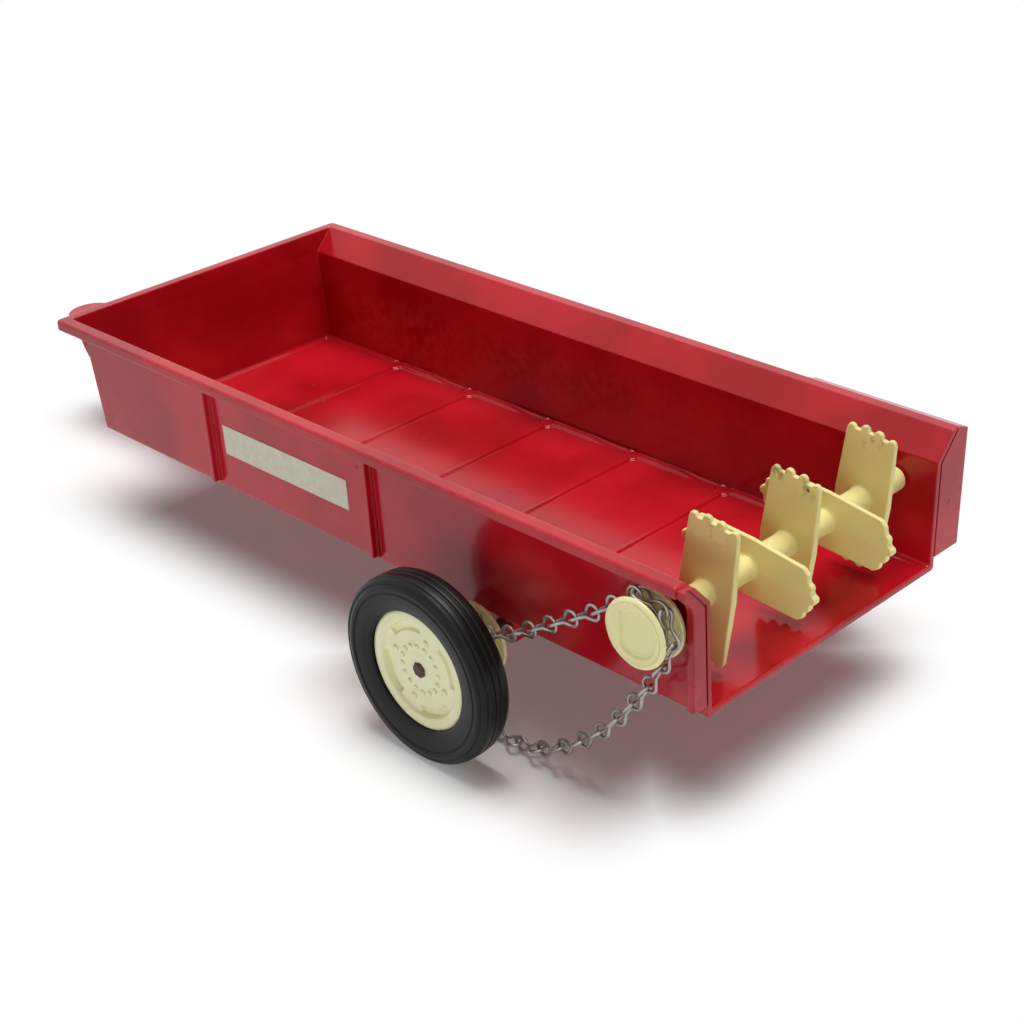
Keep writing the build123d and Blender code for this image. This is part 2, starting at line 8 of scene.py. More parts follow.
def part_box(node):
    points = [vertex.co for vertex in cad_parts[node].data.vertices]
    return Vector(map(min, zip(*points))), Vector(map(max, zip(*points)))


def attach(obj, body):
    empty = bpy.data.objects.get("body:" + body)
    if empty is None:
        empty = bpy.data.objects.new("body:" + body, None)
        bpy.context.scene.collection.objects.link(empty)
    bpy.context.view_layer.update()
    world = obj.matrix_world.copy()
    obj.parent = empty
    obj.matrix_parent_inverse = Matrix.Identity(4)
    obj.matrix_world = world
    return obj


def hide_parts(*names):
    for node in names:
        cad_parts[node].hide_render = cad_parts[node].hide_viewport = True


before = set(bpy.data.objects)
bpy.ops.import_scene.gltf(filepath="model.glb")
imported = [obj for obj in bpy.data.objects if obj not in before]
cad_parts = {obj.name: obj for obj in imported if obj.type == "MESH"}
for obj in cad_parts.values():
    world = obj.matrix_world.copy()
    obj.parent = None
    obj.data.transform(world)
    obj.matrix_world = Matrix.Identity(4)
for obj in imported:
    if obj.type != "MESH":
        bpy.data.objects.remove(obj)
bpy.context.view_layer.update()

mm = 0.001
print("frame loaded")


# Camera, floor and light

cameraView = {
    "place": (-0.37001, 0.31182, 0.26766),
    "heading": -43.78,      # degrees from straight ahead toward the left
    "downward": 28.12,
    "roll": -2.84,
    "lens": 68.19,
}

studio = {
    "floorRadius": 4.0,
    "floorSides": 96,
    "floorColour": (0.86, 0.86, 0.86),
    # middle and half sizes of the two places where the floor keeps all its shadow
    "shadowBoxes": (((0.002, 0, 0), (0.132, 0.028, 1.0)), ((-0.082, 0, 0), (0.034, 0.058, 1.0))),
    "nearWhite": 0.05,      # share of pure white in the floor there
    "whiteReach": 0.032,    # distance from them where the floor is all white
    "lampSize": 0.60,
    "lampPlace": (-0.06, -0.10, 1.05),
    "lampPower": 11.4,
    "skyFill": 0.05,        # what the white room adds from high up
    "wallFill": 2.7,        # and from its walls, near the horizon
    "wallTop": 0.27,        # sine of the elevation where the walls have faded out
}


def makeCamera():
    lens = bpy.data.cameras.new("camera")
    lens.sensor_width = 36
    lens.lens = cameraView["lens"]
    lens.clip_start = 0.01
    lens.clip_end = 20
    eye = bpy.data.objects.new("camera", lens)
    bpy.context.scene.collection.objects.link(eye)
    eye.location = cameraView["place"]
    turn = Matrix.Rotation(radians(cameraView["heading"] - 90), 3, "Z")
    tilt = Matrix.Rotation(radians(90 - cameraView["downward"]), 3, "X")
    roll = Matrix.Rotation(radians(cameraView["roll"]), 3, "Z")
    eye.rotation_euler = (turn @ tilt @ roll).to_euler()
    bpy.context.scene.camera = eye


def addNode(tree, kind, inputs=None, **settings):
    node = tree.nodes.new(kind)
    for name, value in settings.items():
        setattr(node, name, value)
    for name, value in (inputs or {}).items():
        socket = node.inputs[name]
        if isinstance(value, bpy.types.NodeSocket):
            tree.links.new(value, socket)
        else:
            socket.default_value = value
    return node


def seenByEye(tree):
    # 1 where the camera, a mirror or glass looks, 0 where only soft light is gathered
    path = addNode(tree, "ShaderNodeLightPath")
    glossy = addNode(tree, "ShaderNodeMath", {0: path.outputs["Is Camera Ray"], 1: path.outputs["Is Glossy Ray"]},
                     operation="MAXIMUM")
    return addNode(tree, "ShaderNodeMath", {0: glossy.outputs[0], 1: path.outputs["Is Transmission Ray"]},
                   operation="MAXIMUM").outputs[0]


def makeStudio():
    world = bpy.data.worlds.new("whiteRoom")
    bpy.context.scene.world = world
    world.use_nodes = True
    tree = world.node_tree
    tree.nodes.clear()
    way = addNode(tree, "ShaderNodeTexCoord").outputs["Generated"]
    height = addNode(tree, "ShaderNodeSeparateXYZ", {0: way}).outputs["Z"]
    fill = addNode(tree, "ShaderNodeMapRange", {"Value": height, "From Max": studio["wallTop"],
                                                "To Min": studio["wallFill"], "To Max": studio["skyFill"]})
    level = addNode(tree, "ShaderNodeMix", {"Factor": seenByEye(tree), "A": fill.outputs[0], "B": 1.0})
    sky = addNode(tree, "ShaderNodeBackground", {"Color": (1, 1, 1, 1), "Strength": level.outputs[0]})
    addNode(tree, "ShaderNodeOutputWorld", {"Surface": sky.outputs[0]})

    lamp = bpy.data.lights.new("softbox", "AREA")
    lamp.shape = "SQUARE"
    lamp.size = studio["lampSize"]
    lamp.energy = studio["lampPower"]
    softbox = bpy.data.objects.new("softbox", lamp)
    bpy.context.scene.collection.objects.link(softbox)
    softbox.location = studio["lampPlace"]
    aim = Vector((0, 0, 0)) - Vector(studio["lampPlace"])
    softbox.rotation_euler = aim.to_track_quat("-Z", "Y").to_euler()

    bm = bmesh.new()
    bmesh.ops.create_circle(bm, cap_ends=True, segments=studio["floorSides"], radius=studio["floorRadius"])
    mesh = bpy.data.meshes.new("studioFloor")
    bm.to_mesh(mesh)
    bm.free()
    floor = bpy.data.objects.new("studioFloor", mesh)
    bpy.context.scene.collection.objects.link(floor)
    material = bpy.data.materials.new("paleFloor")
    material.use_nodes = True
    tree = material.node_tree
    tree.nodes.clear()
    pale = addNode(tree, "ShaderNodeMix", {"Factor": seenByEye(tree)}, data_type="RGBA")
    pale.inputs["A"].default_value = (*studio["floorColour"], 1)
    pale.inputs["B"].default_value = (1, 1, 1, 1)
    diffuse = addNode(tree, "ShaderNodeBsdfDiffuse", {"Color": pale.outputs["Result"]})
    white = addNode(tree, "ShaderNodeEmission", {"Strength": 1.0})
    place = addNode(tree, "ShaderNodeTexCoord").outputs["Object"]
    distances = []
    for middle, half in studio["shadowBoxes"]:
        value = place
        for operation, other in (("SUBTRACT", middle), ("ABSOLUTE", None), ("SUBTRACT", half),
                                 ("MAXIMUM", (0, 0, 0)), ("LENGTH", None)):
            step = addNode(tree, "ShaderNodeVectorMath", {0: value}, operation=operation)
            if other:
                step.inputs[1].default_value = other
            value = step.outputs["Value" if operation == "LENGTH" else "Vector"]
        distances.append(value)
    nearest = addNode(tree, "ShaderNodeMath", {0: distances[0], 1: distances[1]}, operation="MINIMUM").outputs[0]
    share = addNode(tree, "ShaderNodeMapRange", {
        "Value": nearest, "From Max": studio["whiteReach"], "To Min": studio["nearWhite"]},
        interpolation_type="SMOOTHSTEP").outputs[0]
    share = addNode(tree, "ShaderNodeMath", {0: share, 1: seenByEye(tree)}, operation="MULTIPLY").outputs[0]
    mixed = addNode(tree, "ShaderNodeMixShader", {0: share, 1: diffuse.outputs[0], 2: white.outputs[0]})
    addNode(tree, "ShaderNodeOutputMaterial", {"Surface": mixed.outputs[0]})
    mesh.materials.append(material)


makeCamera()
makeStudio()
print("camera and studio made")


# Effects that several finishes share

def makeGroup(name, inputs, outputs):
    tree = bpy.data.node_groups.new(name, "ShaderNodeTree")
    for label, kind, value in inputs:
        tree.interface.new_socket(label, in_out="INPUT", socket_type=kind).default_value = value
    for label, kind in outputs:
        tree.interface.new_socket(label, in_out="OUTPUT", socket_type=kind)
    return tree, tree.nodes.new("NodeGroupInput").outputs, tree.nodes.new("NodeGroupOutput")


def objectPlace(tree, stretch=(1, 1, 1)):
    # Object coordinates, stretched for patterns that run one way
    place = addNode(tree, "ShaderNodeTexCoord").outputs["Object"]
    return addNode(tree, "ShaderNodeMapping", {"Vector": place, "Scale": stretch}).outputs[0]


def mathNode(tree, operation, first, second=0.0, clamp=False):
    return addNode(tree, "ShaderNodeMath", {0: first, 1: second}, operation=operation, use_clamp=clamp).outputs[0]


def spread(tree, value, low, high, start=0.0, end=1.0):
    # value from low..high carried to start..end, with soft ends
    return addNode(tree, "ShaderNodeMapRange",
                   {"Value": value, "From Min": low, "From Max": high, "To Min": start, "To Max": end},
                   interpolation_type="SMOOTHSTEP").outputs[0]


def mixColour(tree, share, first, second, blend="MIX"):
    node = addNode(tree, "ShaderNodeMix", {"Factor": share}, data_type="RGBA", blend_type=blend)
    for socket, value in ((node.inputs["A"], first), (node.inputs["B"], second)):
        if isinstance(value, bpy.types.NodeSocket):
            tree.links.new(value, socket)
        else:
            socket.default_value = (*value, 1)
    return node.outputs["Result"]


def makeCoatGroup():
    # Sprayed and brushed coat: fine orange peel, long brush strokes, slow drift in tone
    tree, inputs, output = makeGroup(
        "sprayedCoat",
        [("Peel Scale", "NodeSocketFloat", 700.0), ("Stroke Scale", "NodeSocketFloat", 900.0),
         ("Stroke Amount", "NodeSocketFloat", 0.5)],
        [("Height", "NodeSocketFloat"), ("Tone", "NodeSocketFloat")])
    peel = addNode(tree, "ShaderNodeTexNoise", {"Vector": objectPlace(tree), "Scale": inputs["Peel Scale"],
                                                "Detail": 2.0, "Roughness": 0.5})
    strokes = addNode(tree, "ShaderNodeTexNoise", {"Vector": objectPlace(tree, (1, 1, 0.09)),
                                                   "Scale": inputs["Stroke Scale"], "Detail": 3.0})
    drift = addNode(tree, "ShaderNodeTexNoise", {"Vector": objectPlace(tree), "Scale": 28.0, "Detail": 3.0})
    brushed = mathNode(tree, "MULTIPLY", strokes.outputs[0], inputs["Stroke Amount"])
    tree.links.new(mathNode(tree, "ADD", peel.outputs[0], brushed), output.inputs["Height"])
    tree.links.new(drift.outputs[0], output.inputs["Tone"])
    return tree


def makeSpeckGroup():
    # Scattered pits or specks: Mask is 1 in a speck
    tree, inputs, output = makeGroup(
        "specks",
        [("Scale", "NodeSocketFloat", 250.0), ("Size", "NodeSocketFloat", 0.12), ("Amount", "NodeSocketFloat", 0.3)],
        [("Mask", "NodeSocketFloat")])
    warp = addNode(tree, "ShaderNodeTexNoise", {"Vector": objectPlace(tree), "Scale": 900.0, "Detail": 2.0})
    bent = addNode(tree, "ShaderNodeVectorMath", {0: warp.outputs["Color"], "Scale": 0.0006}, operation="SCALE")
    place = addNode(tree, "ShaderNodeVectorMath", {0: objectPlace(tree), 1: bent.outputs[0]}, operation="ADD")
    cells = addNode(tree, "ShaderNodeTexVoronoi", {"Vector": place.outputs[0], "Scale": inputs["Scale"]})
    near = mathNode(tree, "LESS_THAN", cells.outputs["Distance"], inputs["Size"])
    chosen = addNode(tree, "ShaderNodeSeparateColor", {"Color": cells.outputs["Color"]})
    rare = mathNode(tree, "LESS_THAN", chosen.outputs[0], inputs["Amount"])
    tree.links.new(mathNode(tree, "MULTIPLY", near, rare), output.inputs["Mask"])
    return tree


def makeGrimeGroup():
    # Dirt clouds: Mask rises where the noise passes the Amount
    tree, inputs, output = makeGroup(
        "grime",
        [("Scale", "NodeSocketFloat", 120.0), ("Amount", "NodeSocketFloat", 0.4), ("Softness", "NodeSocketFloat", 0.15)],
        [("Mask", "NodeSocketFloat")])
    cloud = addNode(tree, "ShaderNodeTexNoise", {"Vector": objectPlace(tree), "Scale": inputs["Scale"], "Detail": 6.0,
                                                 "Roughness": 0.65})
    edge = mathNode(tree, "SUBTRACT", 1.0, inputs["Amount"])
    over = mathNode(tree, "SUBTRACT", cloud.outputs[0], edge)
    tree.links.new(mathNode(tree, "DIVIDE", over, inputs["Softness"], clamp=True), output.inputs["Mask"])
    return tree


def makeEdgeGroup():
    # Worn or paint-thin outer edges, from how far the surface stands out
    tree, inputs, output = makeGroup(
        "edgeWear",
        [("Start", "NodeSocketFloat", 0.52), ("End", "NodeSocketFloat", 0.6)],
        [("Mask", "NodeSocketFloat")])
    shape = addNode(tree, "ShaderNodeNewGeometry")
    over = addNode(tree, "ShaderNodeMapRange", {"Value": shape.outputs["Pointiness"], "From Min": inputs["Start"],
                                                "From Max": inputs["End"]})
    broken = addNode(tree, "ShaderNodeTexNoise", {"Vector": objectPlace(tree), "Scale": 420.0, "Detail": 4.0})
    tree.links.new(mathNode(tree, "MULTIPLY", over.outputs[0], spread(tree, broken.outputs[0], 0.4, 0.6)),
                   output.inputs["Mask"])
    return tree


coatGroup = makeCoatGroup()
speckGroup = makeSpeckGroup()
grimeGroup = makeGrimeGroup()
edgeGroup = makeEdgeGroup()


def useGroup(tree, group, **values):
    node = tree.nodes.new("ShaderNodeGroup")
    node.node_tree = group
    for name, value in values.items():
        label = "".join(" " + letter if letter.isupper() else letter for letter in name).title().strip()
        node.inputs[label].default_value = value
    return node.outputs


def startMaterial(name, roughness, ior=1.5, metallic=0.0):
    material = bpy.data.materials.new(name)
    material.use_nodes = True
    tree = material.node_tree
    tree.nodes.clear()
    shader = addNode(tree, "ShaderNodeBsdfPrincipled", {"Roughness": roughness, "IOR": ior, "Metallic": metallic})
    addNode(tree, "ShaderNodeOutputMaterial", {"Surface": shader.outputs[0]})
    return material, tree, shader


def giveBump(tree, shader, height, distance, strength=1.0):
    bump = addNode(tree, "ShaderNodeBump", {"Height": height, "Distance": distance, "Strength": strength})
    tree.links.new(bump.outputs[0], shader.inputs["Normal"])


# Finishes

enamel = {
    "deep": (0.37, 0.003, 0.008),
    "bright": (0.53, 0.008, 0.018),
    "thin": (0.62, 0.05, 0.055),
    "pit": (0.10, 0.012, 0.012),
    "roughness": 0.13,
    "gloss": 0.38,
    "peelDepth": 0.016 * mm,
}


def makeEnamel():
    material, tree, shader = startMaterial("redEnamel", enamel["roughness"])
    shader.inputs["Specular IOR Level"].default_value = enamel["gloss"]
    coat = useGroup(tree, coatGroup, peelScale=650.0, strokeScale=800.0, strokeAmount=0.8)
    pits = useGroup(tree, speckGroup, scale=170.0, size=0.10, amount=0.10)
    edges = useGroup(tree, edgeGroup, start=0.53, end=0.62)
    colour = mixColour(tree, spread(tree, coat["Tone"], 0.35, 0.65), enamel["deep"], enamel["bright"])
    colour = mixColour(tree, mathNode(tree, "MULTIPLY", edges["Mask"], 0.35), colour, enamel["thin"])
    colour = mixColour(tree, mathNode(tree, "MULTIPLY", pits["Mask"], 0.7), colour, enamel["pit"])
    tree.links.new(colour, shader.inputs["Base Color"])
    gloss = mathNode(tree, "ADD", enamel["roughness"], mathNode(tree, "MULTIPLY", coat["Tone"], 0.08))
    tree.links.new(mathNode(tree, "ADD", gloss, mathNode(tree, "MULTIPLY", pits["Mask"], 0.3)),
                   shader.inputs["Roughness"])
    height = mathNode(tree, "SUBTRACT", coat["Height"], mathNode(tree, "MULTIPLY", pits["Mask"], 2.0))
    giveBump(tree, shader, height, enamel["peelDepth"])
    return material


cream = {
    "wheel": (0.92, 0.92, 0.60),
    "wheelShade": (0.88, 0.86, 0.52),
    "beater": (0.84, 0.75, 0.31),
    "beaterShade": (0.72, 0.60, 0.23),
    "pulley": (0.93, 0.88, 0.46),
    "pulleyShade": (0.88, 0.80, 0.40),
    "dirt": (0.20, 0.11, 0.04),
    "speck": (0.05, 0.03, 0.02),
    "roughness": 0.36,
}


def makeCream(name, clean, shade, dirtAmount, dirtShare, reach=None):
    # reach: (axis, low, high) keeps the dirt to one end of the piece
    material, tree, shader = startMaterial(name, cream["roughness"])
    coat = useGroup(tree, coatGroup, peelScale=1100.0, strokeScale=500.0, strokeAmount=0.3)
    dirt = useGroup(tree, grimeGroup, scale=260.0, amount=dirtAmount, softness=0.10)
    specks = useGroup(tree, speckGroup, scale=120.0, size=0.06, amount=0.10)
    colour = mixColour(tree, spread(tree, coat["Tone"], 0.3, 0.7), clean, shade)
    share = mathNode(tree, "MULTIPLY", dirt["Mask"], dirtShare)
    if reach:
        axis, low, high = reach
        place = addNode(tree, "ShaderNodeSeparateXYZ", {0: objectPlace(tree)})
        share = mathNode(tree, "MULTIPLY", share, spread(tree, place.outputs[axis], low, high))
    colour = mixColour(tree, share, colour, cream["dirt"])
    colour = mixColour(tree, mathNode(tree, "MULTIPLY", specks["Mask"], 0.75), colour, cream["speck"])
    tree.links.new(colour, shader.inputs["Base Color"])
    tree.links.new(mathNode(tree, "ADD", cream["roughness"], mathNode(tree, "MULTIPLY", share, 0.3)),
                   shader.inputs["Roughness"])
    shader.inputs["Subsurface Weight"].default_value = 0.12
    shader.inputs["Subsurface Radius"].default_value = (1.0, 0.8, 0.4)
    shader.inputs["Subsurface Scale"].default_value = 0.8 * mm
    giveBump(tree, shader, coat["Height"], 0.012 * mm)
    return material


rubber = {
    "black": (0.0025, 0.0027, 0.003),
    "grey": (0.009, 0.0095, 0.010),
    "dust": (0.14, 0.13, 0.12),
    "roughness": 0.34,
    "gloss": 0.22,
}


def makeRubber():
    material, tree, shader = startMaterial("tyreBlack", rubber["roughness"])
    shader.inputs["Specular IOR Level"].default_value = rubber["gloss"]
    coat = useGroup(tree, coatGroup, peelScale=500.0, strokeScale=300.0, strokeAmount=0.4)
    dust = useGroup(tree, speckGroup, scale=140.0, size=0.05, amount=0.04)
    scuffs = useGroup(tree, grimeGroup, scale=90.0, amount=0.42, softness=0.2)
    colour = mixColour(tree, mathNode(tree, "MULTIPLY", scuffs["Mask"], 0.5), rubber["black"], rubber["grey"])
    colour = mixColour(tree, mathNode(tree, "MULTIPLY", dust["Mask"], 0.8), colour, rubber["dust"])
    tree.links.new(colour, shader.inputs["Base Color"])
    tree.links.new(spread(tree, scuffs["Mask"], 0.0, 1.0, rubber["roughness"], rubber["roughness"] + 0.22),
                   shader.inputs["Roughness"])
    giveBump(tree, shader, coat["Height"], 0.010 * mm)
    return material


steel = {
    "bright": (0.38, 0.355, 0.335),
    "dull": (0.15, 0.135, 0.125),
    "rust": (0.10, 0.045, 0.025),
    "iron": (0.075, 0.045, 0.032),
}


def makeSteel(name, bright, dull, metallic, roughness, rustAmount):
    material, tree, shader = startMaterial(name, roughness, metallic=metallic)
    coat = useGroup(tree, coatGroup, peelScale=1500.0, strokeScale=900.0, strokeAmount=0.5)
    patches = useGroup(tree, grimeGroup, scale=240.0, amount=0.5, softness=0.25)
    rust = useGroup(tree, grimeGroup, scale=420.0, amount=rustAmount, softness=0.12)
    colour = mixColour(tree, patches["Mask"], bright, dull)
    colour = mixColour(tree, mathNode(tree, "MULTIPLY", rust["Mask"], 0.8), colour, steel["rust"])
    tree.links.new(colour, shader.inputs["Base Color"])
    tree.links.new(spread(tree, rust["Mask"], 0.0, 1.0, roughness, roughness + 0.3), shader.inputs["Roughness"])
    giveBump(tree, shader, coat["Height"], 0.014 * mm)
    return material


sticker = {
    "paper": (0.68, 0.66, 0.52),
    "yellowed": (0.58, 0.54, 0.34),
    "roughness": 0.38,
}


def makeSticker():
    material, tree, shader = startMaterial("blankSticker", sticker["roughness"])
    coat = useGroup(tree, coatGroup, peelScale=900.0, strokeScale=400.0, strokeAmount=0.2)
    stains = useGroup(tree, grimeGroup, scale=70.0, amount=0.45, softness=0.3)
    edges = useGroup(tree, edgeGroup, start=0.52, end=0.60)
    colour = mixColour(tree, mathNode(tree, "MULTIPLY", stains["Mask"], 0.5), sticker["paper"], sticker["yellowed"])
    colour = mixColour(tree, mathNode(tree, "MULTIPLY", edges["Mask"], 0.4), colour, sticker["yellowed"])
    tree.links.new(colour, shader.inputs["Base Color"])
    giveBump(tree, shader, coat["Height"], 0.006 * mm)
    return material


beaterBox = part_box("beater")
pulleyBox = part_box("beater_pulley")
pulleyMiddle = (pulleyBox[0] + pulleyBox[1]) / 2
redEnamel = makeEnamel()
wheelCream = makeCream("wheelCream", cream["wheel"], cream["wheelShade"], 0.36, 0.15)
beaterCream = makeCream("beaterCream", cream["beater"], cream["beaterShade"], 0.46, 0.75,
                        reach=("Z", beaterBox[1].z - 0.008, beaterBox[1].z))
pulleyCream = makeCream("pulleyCream", cream["pulley"], cream["pulleyShade"], 0.34, 0.40)
tyreBlack = makeRubber()
chainSteel = makeSteel("chainSteel", steel["bright"], steel["dull"], 1.0, 0.34, 0.34)
rivetSteel = makeSteel("rivetSteel", steel["bright"], steel["dull"], 1.0, 0.40, 0.40)
darkIron = makeSteel("darkIron", steel["iron"], steel["rust"], 0.35, 0.5, 0.5)
blankSticker = makeSticker()
print("finishes made")


# Mesh helpers

def evenlyShaded(mesh):
    # Flat faces keep flat shading, and the rounded edges between them take up the turn
    holder = bpy.data.objects.new("shading", mesh)
    bpy.context.scene.collection.objects.link(holder)
    modifier = holder.modifiers.new("weightedNormals", "WEIGHTED_NORMAL")
    modifier.mode = "FACE_AREA"
    modifier.keep_sharp = True
    modifier.weight = 100
    shaded = bpy.data.meshes.new_from_object(holder.evaluated_get(bpy.context.evaluated_depsgraph_get()))
    bpy.data.objects.remove(holder)
    shaded.name = mesh.name
    return shaded


def addPiece(name, mesh, material, body, replaced=(), crease=38, even=False):
    mesh.materials.clear()
    mesh.materials.append(material)
    for face in mesh.polygons:
        face.material_index = 0
        face.use_smooth = True
    mesh.set_sharp_from_angle(angle=radians(crease))
    piece = bpy.data.objects.new(name, evenlyShaded(mesh) if even else mesh)
    bpy.context.scene.collection.objects.link(piece)
    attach(piece, body)
    if replaced:
        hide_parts(*replaced)
    return piece


def meshFrom(bm, name):
    mesh = bpy.data.meshes.new(name)
    bm.to_mesh(mesh)
    bm.free()
    return mesh


def faceWidth(face):
    return face.calc_area() / max(edge.calc_length() for edge in face.edges)


def softenedCopy(node, name, width, fineWidth=0.12 * mm, steps=3, sharper=32, change=None):
    # A merged copy of the casting with its hard edges rounded, narrow faces less than wide ones
    bm = bmesh.new()
    bm.from_mesh(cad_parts[node].data)
    if change:
        change(bm)
    bmesh.ops.remove_doubles(bm, verts=bm.verts, dist=0.03 * mm)
    bmesh.ops.dissolve_degenerate(bm, edges=bm.edges, dist=0.02 * mm)
    bmesh.ops.dissolve_limit(bm, angle_limit=radians(0.8), verts=bm.verts, edges=bm.edges)
    for offset, narrow in ((width, False), (fineWidth, True)):
        hard = []
        for edge in bm.edges:
            if len(edge.link_faces) == 2 and edge.calc_face_angle(0.0) > radians(sharper):
                if (min(faceWidth(face) for face in edge.link_faces) < 2.4 * width) == narrow:
                    hard.append(edge)
        bmesh.ops.bevel(bm, geom=hard, offset=offset, offset_type="OFFSET", segments=steps, profile=0.5,
                        affect="EDGES", clamp_overlap=False, miter_outer="ARC")
    return meshFrom(bm, name)


def roundedSection(corners, steps=4):
    # corners: (radius, y, rounding) in millimetres, going once round the section
    points = []
    count = len(corners)
    for index, (radius, y, rounding) in enumerate(corners):
        here = Vector((radius, y))
        before = Vector(corners[index - 1][:2]) - here
        after = Vector(corners[(index + 1) % count][:2]) - here
        if rounding <= 0 or before.length < 1e-6 or after.length < 1e-6:
            points.append(tuple(here))
            continue
        half = acos(max(-1, min(1, before.normalized().dot(after.normalized())))) / 2
        reach = min(rounding / max(tan(half), 1e-3), 0.49 * before.length, 0.49 * after.length)
        start = here + before.normalized() * reach
        end = here + after.normalized() * reach
        for step in range(steps + 1):
            share = step / steps
            points.append(tuple(start * (1 - share) ** 2 + here * 2 * share * (1 - share) + end * share ** 2))
    return points


def turnedMesh(name, middle, side, rings, segments, shapeAt=None):
    # A closed section of (radius, y) points in millimetres turned about an axle that lies along Y
    bm = bmesh.new()
    rows = []
    for radius, y in rings:
        row = []
        for index in range(segments):
            turn = 2 * pi * index / segments
            out = shapeAt(radius, y, turn) if shapeAt else y
            row.append(bm.verts.new((middle.x + radius * cos(turn) * mm, side * out * mm,
                                     middle.z + radius * sin(turn) * mm)))
        rows.append(row)
    for row, following in zip(rows, rows[1:] + rows[:1]):
        for index in range(segments):
            after = (index + 1) % segments
            bm.faces.new((row[index], row[after], following[after], following[index]))
    bmesh.ops.remove_doubles(bm, verts=bm.verts, dist=1e-7)
    bmesh.ops.recalc_face_normals(bm, faces=bm.faces)
    return meshFrom(bm, name)


def makeTree(name, inputs):
    tree = bpy.data.node_groups.new(name, "GeometryNodeTree")
    for label, kind, value in inputs:
        socket = tree.interface.new_socket(label, in_out="INPUT", socket_type="NodeSocket" + kind)
        if value is not None:
            socket.default_value = value
    tree.interface.new_socket("Geometry", in_out="OUTPUT", socket_type="NodeSocketGeometry")
    return tree, tree.nodes.new("NodeGroupInput").outputs, tree.nodes.new("NodeGroupOutput")


def grownMesh(name, tree, values, host=None):
    # Runs a tree on a mesh and returns the plain mesh that it makes
    holder = bpy.data.objects.new(name + "Host", host or bpy.data.meshes.new(name + "Host"))
    bpy.context.scene.collection.objects.link(holder)
    modifier = holder.modifiers.new(tree.name, "NODES")
    modifier.node_group = tree
    for item in tree.interface.items_tree:
        if item.item_type == "SOCKET" and item.in_out == "INPUT" and item.name in values:
            modifier[item.identifier] = values[item.name]
    seen = holder.evaluated_get(bpy.context.evaluated_depsgraph_get())
    mesh = bpy.data.meshes.new_from_object(seen)
    holder.modifiers.remove(modifier)
    bpy.data.objects.remove(holder)
    mesh.name = name
    return mesh


# Bed casting and drawbar

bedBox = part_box("bed")
rear = bedBox[0].x / mm                     # stations are counted from here, in millimetres
casting = {"edge": 0.30 * mm, "barEdge": 0.35 * mm}

floorLook = {
    "top": 30.6,
    "halfWidth": 40.95,
    "front": 223.7,
    "under": 0.9,           # the panel's underside, below the floor's top
    "firstBar": 62.5,
    "barPitch": 32.0,
    "bars": 5,
    "barHalf": 1.0,
    "barHeight": 0.62,
    "bossRadius": 2.3,
    "bossHeight": 0.5,
    "ledgeWidth": 2.0,
    "ledgeHeight": 0.75,
    "ledgeFade": 0.72,      # share of the pitch after which a ledge has sunk into the floor
    "softEdge": 0.5,
    "wallFillet": 0.8,
    "frontFillet": 1.6,
    "rearRound": 0.5,
}


def lowerFloor(bm):
    # The copy's floor loses its bars and ledges, which the floor panel carries
    top = floorLook["top"]
    for vert in bm.verts:
        x, y, z = vert.co / mm
        if top - 0.05 < z < top + 0.75 and abs(y) < floorLook["halfWidth"] + 0.05 and x < rear + floorLook["front"] + 0.1:
            vert.co.z = (top - 0.2) * mm


def softStep(value):
    value = min(max(value, 0.0), 1.0)
    return value * value * (3 - 2 * value)


def hollowRise(distance, radius):
    # Height of a fillet against a wall that stands this far away
    return radius - sqrt(radius ** 2 - (radius - distance) ** 2) if distance < radius else 0.0


def floorHeight(station, across):
    look = floorLook
    fromWall = look["halfWidth"] - abs(across)
    index = min(max(round((station - look["firstBar"]) / look["barPitch"]), 0), look["bars"] - 1)
    along = station - look["firstBar"] - index * look["barPitch"]
    fromBoss = hypot(along, fromWall - look["ledgeWidth"])
    behind = (look["firstBar"] - station) % look["barPitch"] / look["barPitch"]   # 0 at a bar, growing rearward
    kept = softStep((look["ledgeFade"] - behind) / 0.25) if station < look["firstBar"] + \
        (look["bars"] - 1) * look["barPitch"] else 1.0
    ledge = look["ledgeHeight"] * softStep((look["ledgeWidth"] - fromWall) / look["softEdge"] + 0.5) * kept
    collar = look["ledgeHeight"] * softStep((look["bossRadius"] + 0.9 - fromBoss) / look["softEdge"] + 0.5)
    ledge = max(ledge, collar if fromWall < look["ledgeWidth"] else 0.0)
    bar = look["barHeight"] * softStep((look["barHalf"] - abs(along)) / look["softEdge"] + 0.5)
    boss = softStep((look["bossRadius"] - fromBoss) / look["softEdge"] + 0.5)
    height = max(ledge, bar) * (1 - boss) + look["bossHeight"] * boss
    height = max(height, hollowRise(fromWall, look["wallFillet"]),
                 hollowRise(look["front"] - station, look["frontFillet"]))
    return height - hollowRise(max(station, 0.0), look["rearRound"])


def floorLines():
    # Stations and places across, close together only where the floor has a shape
    look = floorLook
    stations = [0.02, 0.12, 0.3, 0.5, 1.0, 12.0, 24.0, 36.0, 48.0]
    for index in range(look["bars"]):
        bar = look["firstBar"] + index * look["barPitch"]
        stations += [bar + 0.2 * step for step in range(-18, 19)]
        stations += [bar + share * look["barPitch"] for share in (0.2, 0.28, 0.36, 0.44, 0.52, 0.7)]
    stations = [s for s in stations if s < look["front"] - 2.2]
    stations += [look["front"] - d for d in (2.0, 1.6, 1.2, 0.9, 0.6, 0.4, 0.2, 0.08, 0.0)]
    beside = [look["halfWidth"] - d for d in [0.0, 0.06, 0.16] + [0.1 + 0.2 * step for step in range(1, 27)]]
    across = sorted(beside) + [-b for b in beside] + [share * 33.0 for share in (-1, -0.8, -0.5, -0.2, 0.2, 0.5, 0.8, 1)]
    return sorted(set(stations)), sorted(set(across))


